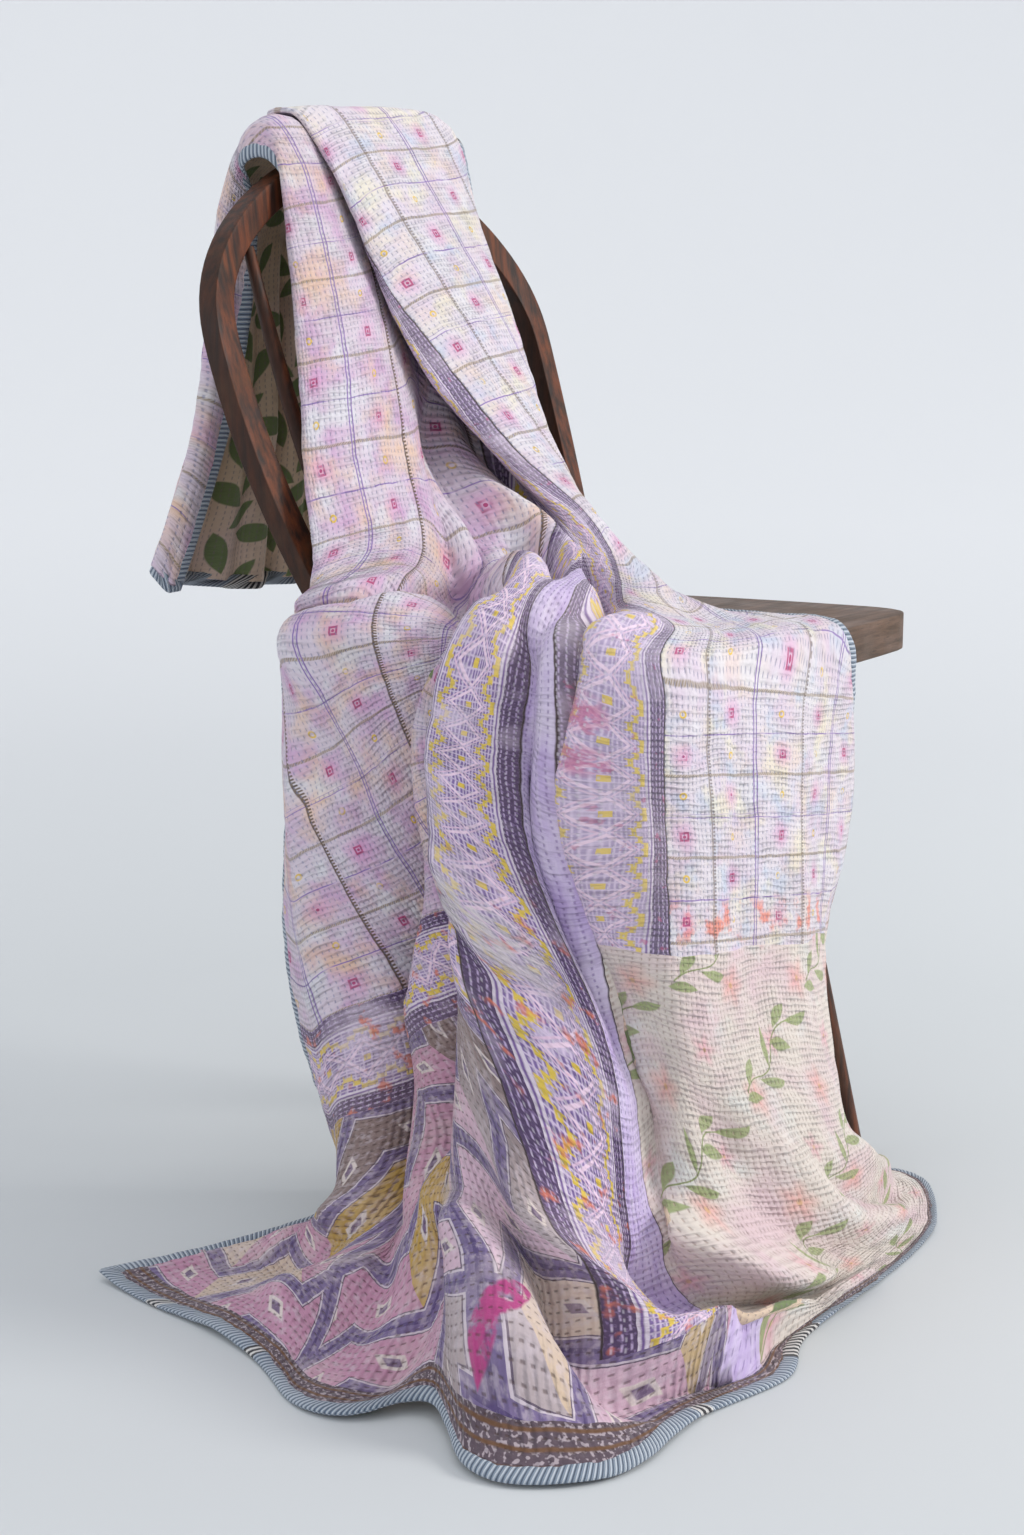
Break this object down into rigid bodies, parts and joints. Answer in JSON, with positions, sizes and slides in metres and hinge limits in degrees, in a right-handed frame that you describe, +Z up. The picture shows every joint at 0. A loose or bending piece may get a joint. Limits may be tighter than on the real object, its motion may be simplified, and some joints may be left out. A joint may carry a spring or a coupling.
{
  "type": "kantha quilt draped over a hoop back chair",
  "caption": "Kantha quilt draped over a hoop-back wooden chair: pleated over the hoop, gathered on the seat, hanging over two edges and trailing on the floor.",
  "frame": {"origin": "on the floor, under the middle of the whole part's footprint", "axes": "+Z up; the chair faces -Y; +X is the chair's left-to-right as seen from in front of it"},
  "size_m": [0.6764, 0.5884, 0.8396],
  "materials": {
    "kantha cotton": "soft layered cotton, hand-quilted in running stitch, matt",
    "binding cotton": "blue-grey woven cotton edge binding, whip-stitched, matt",
    "dark wood": "dark stained, worn, satin"
  },
  "bodies": {
    "root": {"quilt": "kantha cotton", "binding": "binding cotton", "chair_seat": "dark wood", "chair_hoop": "dark wood", "chair_spindle_1": "dark wood", "chair_spindle_2": "dark wood", "chair_spindle_3": "dark wood", "chair_spindle_4": "dark wood", "chair_spindle_5": "dark wood", "leg_front_left": "dark wood", "leg_front_right": "dark wood", "leg_back_left": "dark wood", "leg_back_right": "dark wood"}
  },
  "joints": []
}
